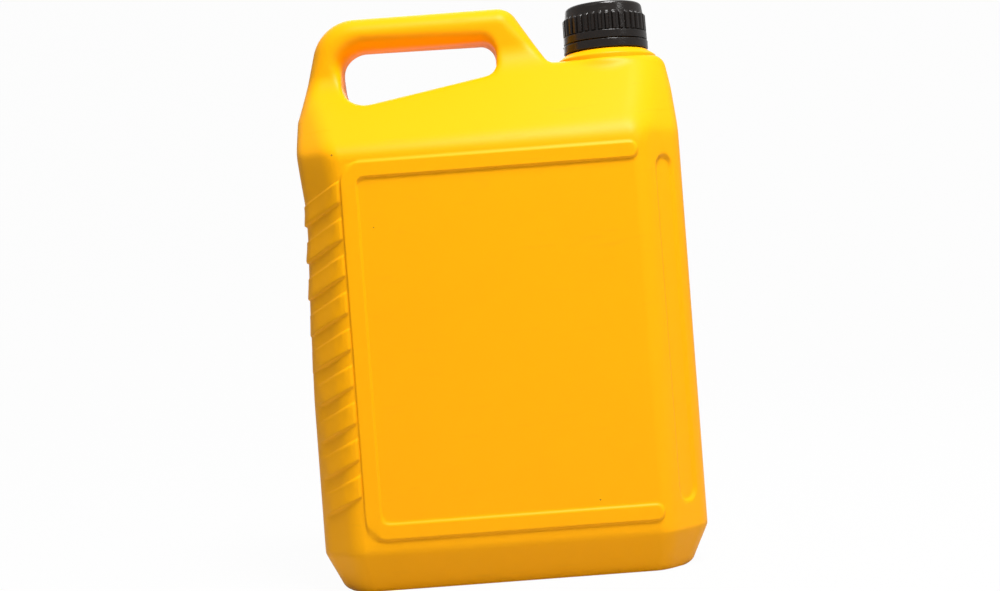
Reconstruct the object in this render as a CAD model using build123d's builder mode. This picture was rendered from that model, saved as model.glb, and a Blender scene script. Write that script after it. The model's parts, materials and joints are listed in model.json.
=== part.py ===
"""Five-litre oil jug: a blow-moulded bottle with a hollow handle, and its screw closure.

Origin at the middle of the base. X runs to the neck side, -Y is the front, +Z is up.
The jug is blown in two mould halves that meet at the plane y = 0, so the back is the
front mirrored. Four pieces: the jug, its cap, the sealing wad in the cap, and the
tamper ring that stays on the neck. Lengths are in millimetres, angles in degrees.
"""

import os
from math import atan2, degrees, radians, tan

from build123d import *

# Jug body, a box with its four upright corners cut off
left_side = 96.5
right_side = 95.5
half_depth = 61.0
left_corner = 17.5
right_corner = 21.5
corner_round = 9.0
wall = 1.4

# Foot, where the body tapers in to the base, and the hollow under the base
foot_inset = 10.0
foot_height = 20.0
foot_round = 6.0
base_round = 3.0
base_rim = 9.0
base_hollow = 2.0

# Shoulder, a roof that rises from the bend to the ridge
bend_height = 217.0
bend_round = 9.0
roof_rise = 41.0
ridge_left_taper = 5.1
ridge_right_taper = 5.5
ridge_half_left = 9.0
ridge_half_right = 25.0
ridge_corner_left = 4.0
ridge_corner_right = 11.0
ridge_corner_round = 3.0

# Neck
neck_inset = 30.5
neck_bore = 31.4
neck_wall = 1.7
neck_height = 22.9
collar_diameter = 51.4
collar_height = 3.8
bead_diameter = 38.6
bead_height = 1.8

# Handle, a hollow loop between the left side and the neck
handle_rise = 32.0
handle_thickness = 30.0
handle_round = 8.0
handle_root_depth = 12.0
handle_shoulder = 19.0
handle_lean = 13.2
handle_left_round = 20.0
handle_neck_gap = 4.5
handle_slope = 18.0
handle_right_round = 10.5
bar_height = 17.0

# Finger hole
hole_left_inset = 23.2
hole_right_inset = 8.8
hole_left_drop = 20.0
hole_right_drop = 4.0
hole_left_round = 13.0
hole_right_round = 7.4
hole_round = 5.5
way_round = 4.0

# Raised frame on the front and back faces, open to the right
frame_left_margin = 5.8
frame_right_margin = 2.0
frame_margin = 6.3
frame_band = 7.8
frame_round = 10.0
frame_end_round = 2.2
frame_height = 1.0

# Grip ribs on the left corners
rib_count = 9
rib_pitch = 17.9
rib_band = 10.3
rib_drop = 11.0
rib_margin = 8.5
rib_end_margin = 1.3
rib_height = 1.1

# Recessed capsule on the right corners
capsule_width = 8.8
capsule_margin = 13.3
capsule_depth = 1.0

# Closure
thread_clearance = 0.4
thread_depth = 1.0
cap_wall = 1.8
cap_roof = 1.8
cap_round = 2.0
cap_head_taper = 0.5
cap_band = 4.0
grip_height = 9.5
grip_depth = 1.2
grip_width = 1.8
grip_count = 36
wad_thickness = 1.0
wad_clearance = 0.3
ring_diameter = 44.0
ring_height = 4.3
ring_lip = 1.9
ring_wall = 1.2
ring_clearance = 0.4
ring_lift = 1.7
ring_gap = 0.5

# Places that follow from the sizes above
ridge_height = bend_height + roof_rise
neck_x = right_side - neck_inset
neck_outside = neck_bore + 2 * neck_wall
collar_top = ridge_height + collar_height
neck_top = collar_top + neck_height
ring_bottom = collar_top + ring_lift
bead_bottom = ring_bottom + ring_lip
ring_top = ring_bottom + ring_height
cap_bottom = ring_top + ring_gap
cap_top = neck_top + wad_thickness + cap_roof
cap_bore = neck_outside + 2 * (thread_depth + thread_clearance)
cap_core = cap_bore + 2 * cap_wall
cap_diameter = cap_core + 2 * grip_depth
grip_bottom = cap_bottom + cap_band
handle_top = ridge_height + handle_rise
handle_right_foot = neck_x - collar_diameter / 2 - handle_neck_gap
handle_right_head = handle_right_foot - handle_slope
hole_left = left_side - hole_left_inset
hole_right = handle_right_head - hole_right_inset
hole_top = handle_top - bar_height
frame_left = left_side - left_corner - frame_left_margin
frame_right = right_side - right_corner - frame_right_margin
frame_bottom = foot_height + frame_margin
frame_top = bend_height - frame_margin
rib_end = left_side - rib_end_margin
roof_turn = degrees(atan2(half_depth - ridge_half_right, roof_rise))
foot_turn = degrees(atan2(foot_inset, foot_height))
neck_plane = Plane((neck_x, 0, 0), x_dir=(1, 0, 0), z_dir=(0, -1, 0))
neck_axis = Axis((neck_x, 0, 0), (0, 0, 1))


def mitre(angle):
    """How far a wall's inner corner shifts along its face, for one unit of wall."""
    return tan(radians(angle / 2))


def cut_plan(height, shrink, rounding, sides, halves, cuts):
    """Plan section with its corners cut off and rounded, moved in by shrink."""
    left, right = sides
    half_left, half_right = halves
    cut_left, cut_right = cuts
    front = [
        (-left, cut_left - half_left),
        (cut_left - left, -half_left),
        (right - cut_right, -half_right),
        (right, cut_right - half_right),
    ]
    back = [(x, -y) for x, y in reversed(front)]
    with BuildSketch(Plane.XY.offset(height)) as section:
        with BuildLine():
            Polyline(*front, *back, close=True)
        make_face()
        if shrink:
            offset(amount=-shrink, kind=Kind.INTERSECTION)
        fillet(section.vertices(), rounding)
    return section.sketch


def body_plan(height, shrink, rounding):
    """Plan of the straight part of the body, at one height."""
    sides = (left_side, right_side)
    halves = (half_depth, half_depth)
    cuts = (left_corner, right_corner)
    return cut_plan(height, shrink, rounding, sides, halves, cuts)


def ridge_plan(height, shrink):
    """Plan of the roof where it ends, narrow under the handle and wide at the neck."""
    sides = (left_side - ridge_left_taper, right_side - ridge_right_taper)
    halves = (ridge_half_left, ridge_half_right)
    cuts = (ridge_corner_left, ridge_corner_right)
    return cut_plan(height, shrink, ridge_corner_round, sides, halves, cuts)


def hole_outline():
    """Outline of the finger hole, drawn in the line that is open."""
    outline = [
        (-hole_left, hole_top),
        (hole_right, hole_top),
        (hole_right, ridge_height - hole_right_drop),
        (-hole_left, ridge_height - hole_left_drop),
    ]
    rounds = [hole_left_round, hole_right_round, hole_right_round, hole_left_round]
    return FilletPolyline(*outline, radius=rounds, close=True)


def handle_loop(inset):
    """Handle from its root inside the body to the bar, with every long edge rounded."""
    root = bend_height - handle_root_depth
    foot = bend_height + handle_shoulder
    outline = [
        (-left_side + handle_round, root),
        (-left_side, foot - handle_round),
        (-left_side, foot),
        (-left_side + handle_lean, handle_top),
        (handle_right_head, handle_top),
        (handle_right_foot, ridge_height),
        (handle_right_foot + handle_round, ridge_height - 2 * handle_round),
        (handle_right_foot, root),
    ]
    soft = handle_round + 2
    rounds = [soft, soft, soft, handle_left_round, handle_right_round, soft, soft, soft]
    with BuildPart() as loop:
        with BuildSketch(Plane.XZ):
            with BuildLine():
                FilletPolyline(*outline, radius=rounds, close=True)
            make_face()
            with BuildLine():
                hole_outline()
            make_face(mode=Mode.SUBTRACT)
            if inset:
                offset(amount=-inset)
        extrude(amount=handle_thickness / 2 - inset, both=True)
        sides = loop.faces().filter_by(Axis.Y)
        outer = ShapeList([edge for side in sides for edge in side.outer_wire().edges()])
        inner = sides.edges() - outer
        fillet(outer, handle_round - inset)
        fillet(inner, hole_round - inset)
    return loop.part


def finger_way(inset):
    """Plug that opens the roof under the bar; the wall stands inset away from it."""
    with BuildPart() as plug:
        with BuildSketch(Plane.XZ):
            with BuildLine():
                hole_outline()
            make_face()
            if inset:
                offset(amount=inset)
        extrude(amount=half_depth, both=True)
    return plug.part


def raised_frame(inset):
    """Frame that stands on the front face: a flat band on three sides."""
    band_left = -frame_left + frame_band
    band_bottom = frame_bottom + frame_band
    band_top = frame_top - frame_band
    with BuildPart() as frame:
        with BuildSketch(Plane.XZ.offset(half_depth - inset)) as face:
            with BuildLine():
                outer = FilletPolyline(
                    (frame_right, frame_top),
                    (-frame_left, frame_top),
                    (-frame_left, frame_bottom),
                    (frame_right, frame_bottom),
                    radius=frame_round,
                )
                inner = FilletPolyline(
                    (frame_right, band_bottom),
                    (band_left, band_bottom),
                    (band_left, band_top),
                    (frame_right, band_top),
                    radius=frame_end_round,
                )
                Line(outer @ 1, inner @ 0)
                Line(inner @ 1, outer @ 0)
            make_face()
            ends = face.vertices().group_by(Axis.X)[-1]
            fillet(ends, frame_end_round)
            if inset:
                offset(amount=-inset)
        extrude(amount=frame_height)
    return frame.part


def grip_ribs(inset):
    """Slanted ribs from the frame's left band around the cut front left corner."""
    with BuildPart() as ribs:
        with BuildSketch(Plane.XZ):
            for number in range(rib_count):
                top = frame_top - rib_margin - number * rib_pitch
                with BuildLine():
                    Polyline(
                        (-frame_left, top),
                        (-rib_end, top - rib_drop),
                        (-rib_end, top - rib_drop - rib_band),
                        (-frame_left, top - rib_band),
                        close=True,
                    )
                make_face()
            if inset:
                offset(amount=-inset, kind=Kind.INTERSECTION)
        extrude(amount=half_depth + rib_height)
        skin = body_plan(foot_height, inset - rib_height, corner_round + rib_height - inset)
        extrude(skin, amount=bend_height - foot_height, mode=Mode.INTERSECT)
    return ribs.part


def corner_groove(inset):
    """Capsule-shaped recess in the cut face of the front right corner."""
    bottom = foot_height + capsule_margin
    length = bend_height - capsule_margin - bottom
    across = right_corner / 2
    middle = (right_side - across, across - half_depth, bottom + length / 2)
    cut_face = Plane(origin=middle, x_dir=(0, 0, 1), z_dir=(1, -1, 0))
    with BuildPart() as groove:
        with BuildSketch(cut_face.offset(-inset)):
            SlotOverall(length + 2 * inset, capsule_width + 2 * inset)
        extrude(amount=-capsule_depth)
    return groove.part


def jug_form(inset):
    """Closed form of the jug up to its collar, moved in by inset on every side.

    With no inset it is the outside of the jug, and with the wall as inset its cavity.
    """
    foot = foot_height + inset * mitre(foot_turn)
    bend = bend_height - inset * mitre(90 - roof_turn)
    ridge = ridge_height - inset
    rounding = corner_round - inset
    with BuildPart() as form:
        base_section = body_plan(inset, foot_inset + inset * mitre(90 - foot_turn), rounding)
        foot_section = body_plan(foot, inset, rounding)
        bend_section = body_plan(bend, inset, rounding)
        ridge_section = ridge_plan(ridge, inset * mitre(roof_turn))
        loft(sections=[base_section, foot_section], ruled=True)
        extrude(foot_section, amount=bend - foot)
        loft(sections=[bend_section, ridge_section], ruled=True)
        rounds = {bend: bend_round, foot: foot_round, inset: base_round}
        for height, radius in rounds.items():
            loop = form.edges().filter_by(lambda edge: abs(edge.center().Z - height) < 0.01)
            fillet(loop, radius - inset)

        add(finger_way(inset), mode=Mode.SUBTRACT)
        mouths = form.edges(Select.NEW).filter_by(
            lambda edge: abs(edge.center().Y) > handle_thickness / 2
            and edge.center().Z < ridge - roof_rise / 40
        )
        fillet(mouths, way_round - inset)
        add(handle_loop(inset))

        for raised in (raised_frame(inset), grip_ribs(inset)):
            add(raised)
            mirror(raised, about=Plane.XZ)
        groove = corner_groove(inset)
        add(groove, mode=Mode.SUBTRACT)
        mirror(groove, about=Plane.XZ, mode=Mode.SUBTRACT)

        push_up = body_plan(0, foot_inset + base_rim - inset, corner_round / 2)
        extrude(push_up, amount=base_hollow + inset, mode=Mode.SUBTRACT)
        with BuildSketch(Plane.XY.offset(bend_height)):
            with Locations((neck_x, 0)):
                Circle(collar_diameter / 2 - inset)
        extrude(amount=collar_top - inset - bend_height)
    return form.part


# Jug: the outer form with its neck, less the cavity and the bore
with BuildPart() as jug_body:
    add(jug_form(0))
    with BuildSketch(neck_plane):
        with BuildLine():
            Polyline(
                (0, bend_height),
                (neck_outside / 2, bend_height),
                (neck_outside / 2, bead_bottom),
                (bead_diameter / 2, bead_bottom),
                (neck_outside / 2, bead_bottom + bead_height),
                (neck_outside / 2, neck_top),
                (0, neck_top),
                close=True,
            )
        make_face()
    revolve(axis=neck_axis)
    add(jug_form(wall), mode=Mode.SUBTRACT)
    with BuildSketch(Plane.XY.offset(bend_height)):
        with Locations((neck_x, 0)):
            Circle(neck_bore / 2)
    extrude(amount=neck_top - bend_height, mode=Mode.SUBTRACT)

# Cap: a shell with a smooth band below the grip and a rounded head
with BuildPart() as screw_cap:
    with BuildSketch(neck_plane):
        with BuildLine():
            Polyline(
                (0, cap_bottom),
                (cap_diameter / 2, cap_bottom),
                (cap_diameter / 2, grip_bottom),
                (cap_core / 2, grip_bottom),
                (cap_core / 2, grip_bottom + grip_height),
                (cap_core / 2 - cap_head_taper, cap_top),
                (0, cap_top),
                close=True,
            )
        make_face()
    revolve(axis=neck_axis)
    head = screw_cap.edges().filter_by(GeomType.CIRCLE).group_by(Axis.Z)[-1]
    fillet(head, cap_round)
    with BuildSketch(Plane((neck_x, 0, grip_bottom))):
        with PolarLocations(0, grip_count):
            Rectangle(cap_diameter / 2, grip_width, align=(Align.MIN, Align.CENTER))
    extrude(amount=grip_height)
    with BuildSketch(Plane((neck_x, 0, cap_bottom))):
        Circle(cap_bore / 2)
    extrude(amount=cap_top - cap_roof - cap_bottom, mode=Mode.SUBTRACT)

# Wad: a foam disc between the cap's roof and the rim of the neck
with BuildPart() as cap_liner:
    with BuildSketch(Plane((neck_x, 0, neck_top))):
        Circle(cap_bore / 2 - wad_clearance)
    extrude(amount=wad_thickness)

# Tamper ring: a band whose lip is caught under the bead when the cap is first turned
with BuildPart() as tamper_ring:
    with BuildSketch(neck_plane):
        with BuildLine():
            Polyline(
                (neck_outside / 2 + ring_clearance, ring_bottom),
                (ring_diameter / 2, ring_bottom),
                (ring_diameter / 2, ring_top),
                (ring_diameter / 2 - ring_wall, ring_top),
                (ring_diameter / 2 - ring_wall, bead_bottom),
                (neck_outside / 2 + ring_clearance, bead_bottom),
                close=True,
            )
        make_face()
    revolve(axis=neck_axis)

os.makedirs("parts", exist_ok=True)

jug_body.part.label = "jug_body"
export_step(jug_body.part, "parts/jug_body.step")

screw_cap.part.label = "screw_cap"
export_step(screw_cap.part, "parts/screw_cap.step")

cap_liner.part.label = "cap_liner"
export_step(cap_liner.part, "parts/cap_liner.step")

tamper_ring.part.label = "tamper_ring"
export_step(tamper_ring.part, "parts/tamper_ring.step")
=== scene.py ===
# %% [markdown]
# # A blow-moulded oil jug
# This script dresses the solids of a five-litre oil jug for a picture.
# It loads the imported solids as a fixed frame, makes finer surfaces for the jug's skin,
# its neck and its screw cap, and gives each of them a finish.
# All the shapes are worked out in millimetres with numpy and put into meshes in metres.

# %% Load the frame
import json
import math

import bmesh
import bpy
import numpy as np
from mathutils import Matrix

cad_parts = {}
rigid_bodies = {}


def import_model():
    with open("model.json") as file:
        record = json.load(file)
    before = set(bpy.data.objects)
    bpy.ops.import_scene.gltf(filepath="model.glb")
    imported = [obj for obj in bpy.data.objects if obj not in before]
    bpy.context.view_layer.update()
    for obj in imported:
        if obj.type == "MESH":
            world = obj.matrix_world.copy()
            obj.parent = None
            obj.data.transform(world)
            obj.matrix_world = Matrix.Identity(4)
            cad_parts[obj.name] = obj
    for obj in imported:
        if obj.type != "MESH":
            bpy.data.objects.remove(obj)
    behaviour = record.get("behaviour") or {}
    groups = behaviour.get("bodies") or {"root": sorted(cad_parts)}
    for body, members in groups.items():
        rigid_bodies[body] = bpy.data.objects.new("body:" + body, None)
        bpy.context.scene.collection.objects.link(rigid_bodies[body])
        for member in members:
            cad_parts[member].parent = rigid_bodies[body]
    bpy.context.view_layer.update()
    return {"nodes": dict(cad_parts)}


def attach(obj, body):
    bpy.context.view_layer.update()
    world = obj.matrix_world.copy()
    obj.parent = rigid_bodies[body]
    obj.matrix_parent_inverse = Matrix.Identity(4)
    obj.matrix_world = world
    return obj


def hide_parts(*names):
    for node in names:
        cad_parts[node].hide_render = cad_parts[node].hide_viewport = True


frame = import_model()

# %% [markdown]
# ## Camera
# The jug was photographed from straight in front, at half its height and from about
# 0.8 m away, and it leans 4.3 degrees to the left in the picture. The camera could stay
# level and the jug turn, but the jug has to stay in the frame of its solids,
# so the camera rolls the other way.

# %% Place the camera
PICTURE_WIDTH = 1000
FOCAL_PIXELS = 1564.0
SENSOR = 36.0
LEAN = math.radians(4.3)
CAMERA_PLACE = (0.0, -0.82, 0.1407)
scene = bpy.context.scene
camera_data = bpy.data.cameras.new("camera")
camera_data.sensor_width = SENSOR
camera_data.lens = SENSOR * FOCAL_PIXELS / PICTURE_WIDTH
camera = bpy.data.objects.new("camera", camera_data)
camera.matrix_world = (Matrix.Translation(CAMERA_PLACE)
                       @ Matrix.Rotation(math.pi / 2, 4, "X") @ Matrix.Rotation(-LEAN, 4, "Z"))
scene.collection.objects.link(camera)
scene.camera = camera
print("lens", round(camera_data.lens, 2), "mm")

# %% [markdown]
# ## White walls
# A product photograph of this kind is taken in a white tent, with pale walls all round.
# The world stands for the walls. A world that is bright enough to look white would flood
# the jug, so its light is weaker than its look: rays that come straight from the camera,
# or through clear plastic, find plain white, and mirror rays find part of it.

# %% Raise the walls
WALL_LIGHT = 0.36
WALL_IN_GLOSS = 0.4


def math_node(tree, operation, first, second, clamp=False):
    """One Math node, whose two values are numbers or sockets."""
    node = tree.nodes.new("ShaderNodeMath")
    node.operation = operation
    node.use_clamp = clamp
    for place, value in enumerate((first, second)):
        if isinstance(value, (int, float)):
            node.inputs[place].default_value = value
        else:
            tree.links.new(value, node.inputs[place])
    return node.outputs[0]


def white_to_camera(tree, shader, share):
    """Mixes a shader with a plain white emission for rays that look straight at it.

    fac = share * min(camera ray + WALL_IN_GLOSS * glossy ray + transmission ray, 1)
    """
    path = tree.nodes.new("ShaderNodeLightPath")
    glossy = math_node(tree, "MULTIPLY", path.outputs["Is Glossy Ray"], WALL_IN_GLOSS)
    straight = math_node(tree, "ADD", path.outputs["Is Camera Ray"], glossy)
    straight = math_node(tree, "ADD", straight, path.outputs["Is Transmission Ray"], True)
    white = tree.nodes.new("ShaderNodeBackground" if shader.type == "BACKGROUND"
                           else "ShaderNodeEmission")
    white.inputs["Color"].default_value = (1, 1, 1, 1)
    white.inputs["Strength"].default_value = 1.0
    mix = tree.nodes.new("ShaderNodeMixShader")
    tree.links.new(math_node(tree, "MULTIPLY", straight, share), mix.inputs["Fac"])
    tree.links.new(shader.outputs[0], mix.inputs[1])
    tree.links.new(white.outputs[0], mix.inputs[2])
    return mix


world = bpy.data.worlds.new("white_tent")
scene.world = world
world.use_nodes = True
world.node_tree.nodes.clear()
tent = world.node_tree.nodes.new("ShaderNodeBackground")
tent.inputs["Color"].default_value = (1.0, 1.0, 1.0, 1)
tent.inputs["Strength"].default_value = WALL_LIGHT
world_out = world.node_tree.nodes.new("ShaderNodeOutputWorld")
seen = white_to_camera(world.node_tree, tent, 1.0)
world.node_tree.links.new(seen.outputs[0], world_out.inputs["Surface"])
print("walls of strength", tent.inputs["Strength"].default_value)

# %% [markdown]
# ## Lamps
# One soft lamp hangs above, in front and a little to the right, so the sloping shoulder is
# brighter than the face, and the foot lies in shade. A weak one behind lifts the edges.
# A third is seen only in reflections, like a window: it draws the bright streak on the cap.
# A sun would light as well, but its shadows are too sharp for a tent, so all three are areas.

# %% Hang the lamps
def soft_lamp(name, place, target, size, watts):
    """A square area lamp at place that faces target, both in metres."""
    data = bpy.data.lights.new(name, "AREA")
    data.shape = "SQUARE"
    data.size = size
    data.energy = watts
    lamp = bpy.data.objects.new(name, data)
    towards = np.array(target, float) - np.array(place, float)
    flat = math.hypot(towards[0], towards[1])
    turn = math.atan2(towards[0], -towards[1])
    lamp.matrix_world = (Matrix.Translation(place) @ Matrix.Rotation(-turn + math.pi, 4, "Z")
                         @ Matrix.Rotation(math.atan2(flat, -towards[2]), 4, "X"))
    scene.collection.objects.link(lamp)
    return lamp


key = soft_lamp("lamp_above", place=(0.36, -0.62, 1.48), target=(0.0, 0.0, 0.15),
                size=0.60, watts=42.0)
back = soft_lamp("lamp_behind", place=(-0.25, 1.45, 0.95), target=(0.0, 0.0, 0.12),
                 size=1.0, watts=5.0)
window = soft_lamp("lamp_window", place=(1.06, -0.90, 0.84), target=(0.065, 0.0, 0.28),
                   size=0.42, watts=32.0)
window.visible_diffuse = False
print("lamps:", {lamp.name: lamp.data.energy for lamp in (key, back, window)})

# %% [markdown]
# ## Floor
# The jug stands on a sheet of white paper that curves up behind it, so that no horizon
# shows. A plane would do for the floor alone, but its far edge would cut the white.

# %% Lay the floor
def paper_sheet(half_width, front, back, rise, bend):
    """A sheet along y that curves up at the back.

    (s, x) -> (x, y, z): a run along the floor, a quarter circle of radius bend, then upright.
    """
    flat = np.linspace(front, back - bend, 12)
    angle = np.linspace(0.0, math.pi / 2, 24)[1:]
    arc = np.stack([back - bend + bend * np.sin(angle), bend - bend * np.cos(angle)], 1)
    wall = np.linspace(bend, rise, 10)[1:]
    line = np.concatenate([np.stack([flat, 0 * flat], 1), arc,
                           np.stack([0 * wall + back, wall], 1)])
    across = np.linspace(-half_width, half_width, 9)
    grid = np.empty((len(line), len(across), 3))
    grid[..., 0] = across
    grid[..., 1] = line[:, :1]
    grid[..., 2] = line[:, 1:]
    return grid


def grid_faces(rows, columns, offset=0):
    """Quads of a grid, (i, j) -> i * columns + j, as one array."""
    i, j = np.meshgrid(np.arange(rows - 1), np.arange(columns - 1), indexing="ij")
    a = (i * columns + j).ravel() + offset
    return np.stack([a, a + 1, a + 1 + columns, a + columns], 1)


def make_piece(name, points, faces, smooth=True):
    """Puts whole arrays of points (metres) and quads into a new object at the origin."""
    mesh = bpy.data.meshes.new(name)
    mesh.from_pydata(points.reshape(-1, 3).tolist(), [], faces.tolist())
    mesh.polygons.foreach_set("use_smooth", np.full(len(mesh.polygons), smooth))
    mesh.update()
    piece = bpy.data.objects.new(name, mesh)
    scene.collection.objects.link(piece)
    return piece


PAPER = 0.52
PAPER_WHITE = 0.97
sheet_grid = paper_sheet(half_width=3.0, front=-2.0, back=2.2, rise=2.6, bend=0.9)
floor = make_piece("floor", sheet_grid, grid_faces(*sheet_grid.shape[:2]))
paper = bpy.data.materials.new("white_paper")
paper.use_nodes = True
paper_nodes, paper_links = paper.node_tree.nodes, paper.node_tree.links
paper_nodes.clear()
paper_skin = paper_nodes.new("ShaderNodeBsdfDiffuse")
paper_skin.inputs["Color"].default_value = (PAPER, PAPER, PAPER, 1)
paper_out = paper_nodes.new("ShaderNodeOutputMaterial")
paper_links.new(white_to_camera(paper.node_tree, paper_skin, PAPER_WHITE).outputs[0],
                paper_out.inputs["Surface"])
floor.data.materials.append(paper)
print("floor of", len(floor.data.polygons), "faces")
scene.view_settings.view_transform = "Standard"

# %% [markdown]
# ## Effects shared by the finishes
# Moulded plastic has a faint unevenness: the skin of a blown bottle is never quite flat,
# it is a little cloudy, and it carries dust and small scuffs from the shelf. These could be
# painted into each material, but a node group lets each plastic set its own amounts.

# %% Node groups
def new_group(name, inputs, outputs):
    """An empty shader group with float inputs {name: value} and outputs {name: type}."""
    group = bpy.data.node_groups.new(name, "ShaderNodeTree")
    for label, value in inputs.items():
        socket = group.interface.new_socket(label, in_out="INPUT", socket_type="NodeSocketFloat")
        socket.default_value = value
    for label, kind in outputs.items():
        group.interface.new_socket(label, in_out="OUTPUT", socket_type=kind)
    return group, group.nodes.new("NodeGroupInput"), group.nodes.new("NodeGroupOutput")


def noise_node(tree, scale, detail, rough):
    """Noise on Object coordinates. The scale is in features for each metre."""
    place = tree.nodes.new("ShaderNodeTexCoord")
    node = tree.nodes.new("ShaderNodeTexNoise")
    node.inputs["Detail"].default_value = detail
    node.inputs["Roughness"].default_value = rough
    tree.links.new(place.outputs["Object"], node.inputs["Vector"])
    if isinstance(scale, (int, float)):
        node.inputs["Scale"].default_value = scale
    else:
        tree.links.new(scale, node.inputs["Scale"])
    return node.outputs["Fac"]


def moulded_skin_group():
    """Waves and grain of moulded plastic: height = waves * w + grain * g, cloud from 0 to 1."""
    group, given, out = new_group(
        "moulded_skin", {"Wave Scale": 60.0, "Waves": 1.0, "Grain Scale": 1800.0, "Grain": 0.15},
        {"Height": "NodeSocketFloat", "Cloud": "NodeSocketFloat"})
    waves = noise_node(group, given.outputs["Wave Scale"], 2.0, 0.4)
    grain = noise_node(group, given.outputs["Grain Scale"], 2.0, 0.5)
    cloud = noise_node(group, 14.0, 3.0, 0.55)
    height = math_node(group, "ADD",
                       math_node(group, "MULTIPLY", waves, given.outputs["Waves"]),
                       math_node(group, "MULTIPLY", grain, given.outputs["Grain"]))
    group.links.new(height, out.inputs["Height"])
    group.links.new(cloud, out.inputs["Cloud"])
    return group


SPECK_SIZE = 0.11
SPECK_ODDS = 0.04
SCUFF_START = 0.64
SCUFF_GAIN = 9.0


def shelf_wear_group():
    """Specks and scuffs, both as masks.

    A speck is a spot round the point of a cell, in the few cells whose random colour is low
    enough. Scuffs are where stretched noise is over SCUFF_START, times SCUFF_GAIN.
    """
    group, given, out = new_group(
        "shelf_wear", {"Speck Scale": 260.0, "Speck Share": 0.5, "Scuff Scale": 40.0, "Scuffs": 0.5},
        {"Specks": "NodeSocketFloat", "Scuffs": "NodeSocketFloat"})
    place = group.nodes.new("ShaderNodeTexCoord")
    cells = group.nodes.new("ShaderNodeTexVoronoi")
    cells.feature = "F1"
    group.links.new(place.outputs["Object"], cells.inputs["Vector"])
    group.links.new(given.outputs["Speck Scale"], cells.inputs["Scale"])
    lot = group.nodes.new("ShaderNodeSeparateColor")
    group.links.new(cells.outputs["Color"], lot.inputs[0])
    near = math_node(group, "LESS_THAN", cells.outputs["Distance"],
                     math_node(group, "MULTIPLY", lot.outputs[1], SPECK_SIZE))
    chosen = math_node(group, "LESS_THAN", lot.outputs[0],
                       math_node(group, "MULTIPLY", given.outputs["Speck Share"], SPECK_ODDS))
    group.links.new(math_node(group, "MULTIPLY", near, chosen), out.inputs["Specks"])
    stretched = group.nodes.new("ShaderNodeMapping")
    stretched.inputs["Rotation"].default_value = (0.4, 0.9, 0.3)
    stretched.inputs["Scale"].default_value = (1.0, 1.0, 7.0)
    group.links.new(place.outputs["Object"], stretched.inputs["Vector"])
    lines = group.nodes.new("ShaderNodeTexNoise")
    lines.inputs["Detail"].default_value = 4.0
    group.links.new(stretched.outputs[0], lines.inputs["Vector"])
    group.links.new(given.outputs["Scuff Scale"], lines.inputs["Scale"])
    over = math_node(group, "SUBTRACT", lines.outputs["Fac"], SCUFF_START)
    fine = math_node(group, "MULTIPLY", over, SCUFF_GAIN, True)
    group.links.new(math_node(group, "MULTIPLY", fine, given.outputs["Scuffs"]), out.inputs["Scuffs"])
    return group


MOULDED_SKIN = moulded_skin_group()
SHELF_WEAR = shelf_wear_group()
print("groups:", [group.name for group in bpy.data.node_groups])


# %% [markdown]
# ## Finishes
# The jug is yellow high-density polythene, deep in colour and with little gloss, so its shade
# turns orange. The closure is black polypropylene with a satin face, and the wad in the cap
# is white foam. Each could have a material of its own, but one function builds all three
# from the shared effects, because they differ in their numbers and not in kind.

# %% Build the plastics
SCUFF_PALE = 0.12
SCUFF_ROUGH = 0.25
CLOUD_ROUGH = 0.08


def colour_mix(tree, share, first, second):
    """One Mix node for colours, first * (1 - share) + second * share; each a colour or a socket."""
    node = tree.nodes.new("ShaderNodeMix")
    node.data_type = "RGBA"
    tree.links.new(share, node.inputs[0])
    for socket, value in ((node.inputs[6], first), (node.inputs[7], second)):
        if isinstance(value, tuple):
            socket.default_value = (*value, 1)
        else:
            tree.links.new(value, socket)
    return node.outputs[2]


def group_node(tree, group, settings):
    """A shared effect with its inputs set by name."""
    node = tree.nodes.new("ShaderNodeGroup")
    node.node_tree = group
    for label, value in settings.items():
        node.inputs[label].default_value = value
    return node


def plastic(name, colour, deep, roughness, skin, wear, speck_colour, gloss, bump):
    """A Principled plastic: its colour clouds towards deep, specks darken it, scuffs roughen it.

    roughness + CLOUD_ROUGH * (cloud - 1/2) + SCUFF_ROUGH * scuffs; bump is the relief in mm.
    """
    material = bpy.data.materials.new(name)
    material.use_nodes = True
    tree = material.node_tree
    shader = tree.nodes["Principled BSDF"]
    shader.inputs["IOR"].default_value = 1.5
    shader.inputs["Specular IOR Level"].default_value = gloss
    surface = group_node(tree, MOULDED_SKIN, skin)
    marks = group_node(tree, SHELF_WEAR, wear)
    clean = colour_mix(tree, surface.outputs["Cloud"], colour, deep)
    soiled = math_node(tree, "ADD", marks.outputs["Specks"],
                       math_node(tree, "MULTIPLY", marks.outputs["Scuffs"], SCUFF_PALE), True)
    tree.links.new(colour_mix(tree, soiled, clean, speck_colour), shader.inputs["Base Color"])
    clouded = math_node(tree, "MULTIPLY", surface.outputs["Cloud"], CLOUD_ROUGH)
    scuffed = math_node(tree, "MULTIPLY", marks.outputs["Scuffs"], SCUFF_ROUGH)
    scuffed = math_node(tree, "ADD", scuffed, roughness - CLOUD_ROUGH / 2)
    tree.links.new(math_node(tree, "ADD", clouded, scuffed), shader.inputs["Roughness"])
    relief = tree.nodes.new("ShaderNodeBump")
    relief.inputs["Strength"].default_value = 1.0
    relief.inputs["Distance"].default_value = bump * 0.001
    tree.links.new(surface.outputs["Height"], relief.inputs["Height"])
    tree.links.new(relief.outputs["Normal"], shader.inputs["Normal"])
    return material


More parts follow.
